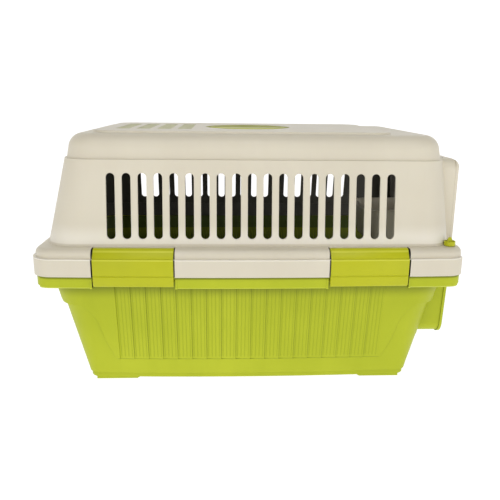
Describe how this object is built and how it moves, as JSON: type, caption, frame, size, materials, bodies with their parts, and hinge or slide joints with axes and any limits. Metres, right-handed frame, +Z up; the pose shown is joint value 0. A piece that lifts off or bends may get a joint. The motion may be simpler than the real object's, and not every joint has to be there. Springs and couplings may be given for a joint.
{
  "type": "plastic dog crate",
  "caption": "Two-shell plastic pet carrier with pleated tub, slotted dome, fold-down roof handle, side latches, wire grille door with sliding bolts and a hung bowl.",
  "frame": {"origin": "middle of the footprint, on the floor under the feet", "axes": "+X along the crate towards the door, +Y to the far side with the door's hinge, +Z up"},
  "size_m": [0.608, 0.422, 0.374],
  "materials": {
    "cream_plastic": "satin moulded",
    "green_plastic": "satin moulded",
    "latch_plastic": "satin moulded",
    "coated_wire": "smooth coated",
    "steel_rod": "plated"
  },
  "bodies": {
    "crate": {"lower_tub": "green_plastic", "upper_shell": "cream_plastic"},
    "handle": {"carry_handle": "green_plastic"},
    "door": {"door_frame_wire": "coated_wire", "door_upright_wires": "coated_wire", "door_cross_wires": "coated_wire", "door_hinge_rod": "steel_rod", "door_bolt_housing": "green_plastic", "door_bolt_guides": "coated_wire"},
    "bolt_upper": {"bolt_rod_upper": "steel_rod", "bolt_grip_upper": "green_plastic"},
    "bolt_lower": {"bolt_rod_lower": "steel_rod", "bolt_grip_lower": "green_plastic"},
    "bowl": {"food_bowl": "cream_plastic"},
    "corner_lock_near": {"corner_lock_near": "green_plastic"},
    "corner_lock_far": {"corner_lock_far": "green_plastic"},
    "latch_near_rear": {"latch_near_rear": "latch_plastic"},
    "latch_near_front": {"latch_near_front": "latch_plastic"},
    "latch_far_rear": {"latch_far_rear": "latch_plastic"},
    "latch_far_front": {"latch_far_front": "latch_plastic"}
  },
  "joints": [
    {"name": "latch_near_rear_hinge", "type": "hinge", "parent": "crate", "child": "latch_near_rear", "pos_m": [-0.1628, -0.20099, 0.174], "axis": [0.9997, -0.0247, 0], "range_deg": [0, 110]},
    {"name": "latch_near_front_hinge", "type": "hinge", "parent": "crate", "child": "latch_near_front", "pos_m": [0.1628, -0.20099, 0.174], "axis": [0.9997, 0.0247, 0], "range_deg": [0, 110]},
    {"name": "latch_far_rear_hinge", "type": "hinge", "parent": "crate", "child": "latch_far_rear", "pos_m": [-0.1628, 0.20099, 0.174], "axis": [-0.9997, -0.0247, 0], "range_deg": [0, 110]},
    {"name": "latch_far_front_hinge", "type": "hinge", "parent": "crate", "child": "latch_far_front", "pos_m": [0.1628, 0.20099, 0.174], "axis": [-0.9997, 0.0247, 0], "range_deg": [0, 110]},
    {"name": "handle_hinge", "type": "hinge", "parent": "crate", "child": "handle", "pos_m": [0, 0, 0.363], "axis": [-1, 0, 0], "range_deg": [0, 180]},
    {"name": "door_hinge", "type": "hinge", "parent": "crate", "child": "door", "pos_m": [0.292, 0.1285, 0.203], "axis": [0, 0, 1], "range_deg": [0, 105]},
    {"name": "bolt_upper_slide", "type": "slide", "parent": "door", "child": "bolt_upper", "axis": [0, 0, 1], "range_m": [0, 0.009]},
    {"name": "bolt_lower_slide", "type": "slide", "parent": "door", "child": "bolt_lower", "axis": [0, 0, -1], "range_m": [0, 0.009]},
    {"name": "bowl_lift", "type": "slide", "parent": "door", "child": "bowl", "axis": [0, 0, 1], "range_m": [0, 0.012]},
    {"name": "corner_lock_near_turn", "type": "hinge", "parent": "crate", "child": "corner_lock_near", "pos_m": [0.282, -0.1805, 0.219], "axis": [0, 0, 1], "range_deg": [0, 90]},
    {"name": "corner_lock_far_turn", "type": "hinge", "parent": "crate", "child": "corner_lock_far", "pos_m": [0.282, 0.1805, 0.219], "axis": [0, 0, 1], "range_deg": [0, 90]}
  ]
}
